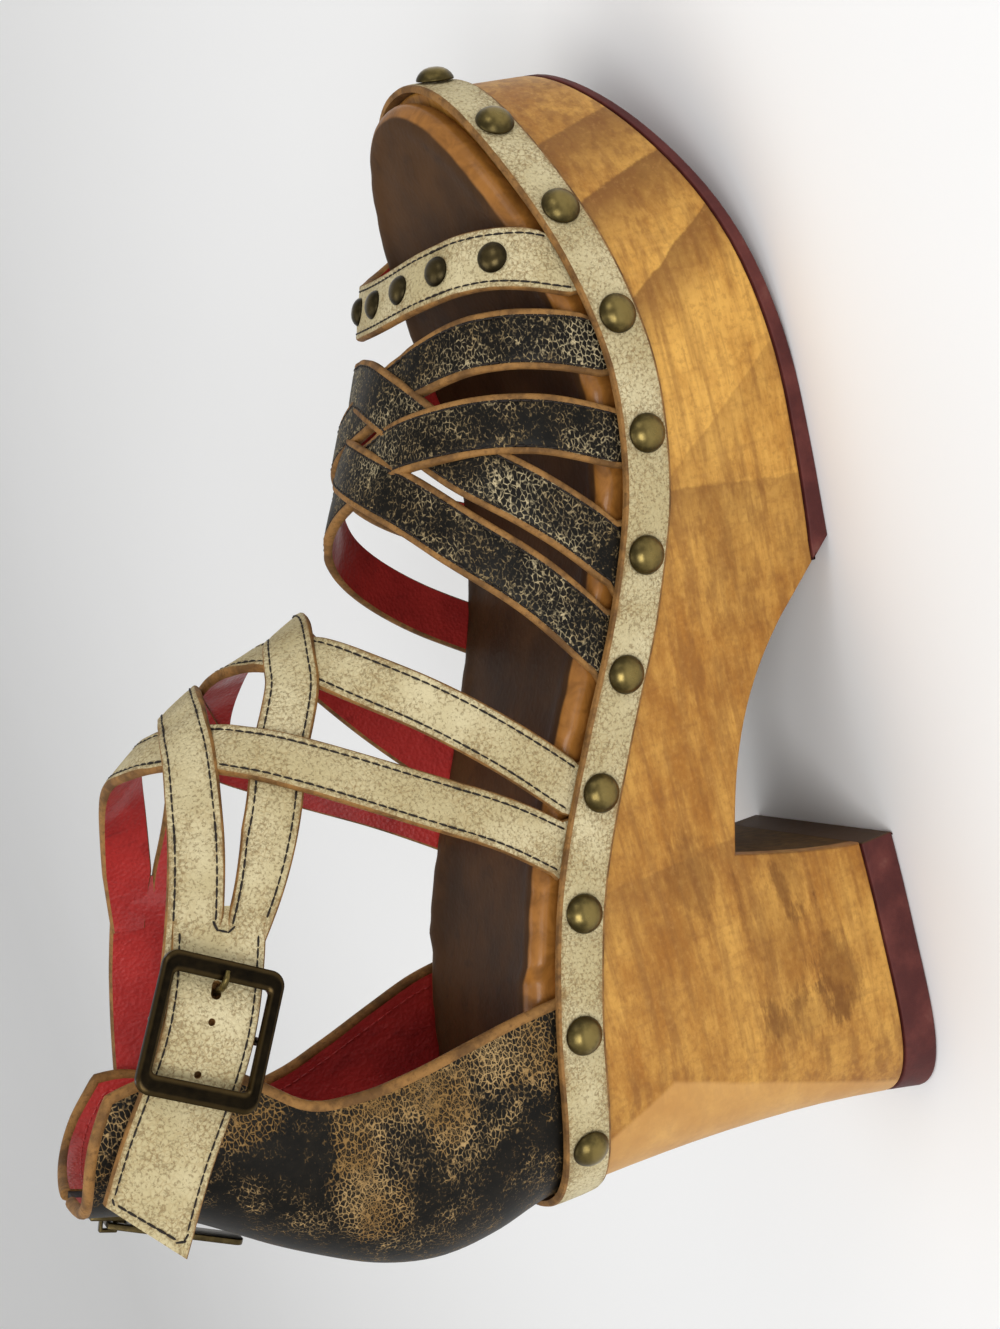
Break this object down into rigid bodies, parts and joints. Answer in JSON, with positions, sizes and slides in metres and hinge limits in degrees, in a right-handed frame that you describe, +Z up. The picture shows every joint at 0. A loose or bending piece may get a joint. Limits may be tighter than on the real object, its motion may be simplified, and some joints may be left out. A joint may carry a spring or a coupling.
{
  "type": "platform sandal",
  "caption": "Right-foot sandal on a stained wooden platform and block heel, with woven leather straps, a studded rand, a buckled ankle strap and a heel counter with a back zip.",
  "frame": {"origin": "on the floor, under the middle of the bounding box", "axes": "+X from heel to toe, +Y to the inner side of the foot, +Z up"},
  "size_m": [0.2582, 0.0976, 0.1938],
  "materials": {
    "stained_wood": "honey stained, satin varnish",
    "burgundy_rubber": "matte",
    "brown_leather": "smooth sock leather with a rolled edge",
    "cream_leather": "crackled",
    "black_leather": "crackled and rubbed, lined",
    "antique_brass": "darkened",
    "zip_tape": "woven tape with metal teeth"
  },
  "bodies": {
    "shoe": {"buckle_frame": "antique_brass", "buckle_prong": "antique_brass", "footbed": "brown_leather", "forefoot_tread": "burgundy_rubber", "heel_counter": "black_leather", "heel_lift": "burgundy_rubber", "instep_straps": "cream_leather", "rand": "cream_leather", "rand_stud_01": "antique_brass", "rand_stud_02": "antique_brass", "rand_stud_03": "antique_brass", "rand_stud_04": "antique_brass", "rand_stud_05": "antique_brass", "rand_stud_06": "antique_brass", "rand_stud_07": "antique_brass", "rand_stud_08": "antique_brass", "rand_stud_09": "antique_brass", "rand_stud_10": "antique_brass", "rand_stud_11": "antique_brass", "rand_stud_12": "antique_brass", "rand_stud_13": "antique_brass", "rand_stud_14": "antique_brass", "rand_stud_15": "antique_brass", "rand_stud_16": "antique_brass", "rand_stud_17": "antique_brass", "rand_stud_18": "antique_brass", "rand_stud_19": "antique_brass", "rand_stud_20": "antique_brass", "rand_stud_21": "antique_brass", "rand_stud_22": "antique_brass", "rand_stud_23": "antique_brass", "toe_strap": "cream_leather", "toe_strap_stud_1": "antique_brass", "toe_strap_stud_2": "antique_brass", "toe_strap_stud_3": "antique_brass", "toe_strap_stud_4": "antique_brass", "toe_strap_stud_5": "antique_brass", "toe_strap_stud_6": "antique_brass", "toe_strap_stud_7": "antique_brass", "vamp_straps": "black_leather", "wood_sole": "stained_wood", "zip": "zip_tape", "zip_slider": "antique_brass"},
    "zip_pull_tab": {"zip_pull": "antique_brass"}
  },
  "joints": [
    {"name": "zip_pull_swing", "type": "hinge", "parent": "shoe", "child": "zip_pull_tab", "pos_m": [-0.08809, -0.00195, 0.18732], "axis": [0, 1, 0], "range_deg": [0, 160]}
  ]
}
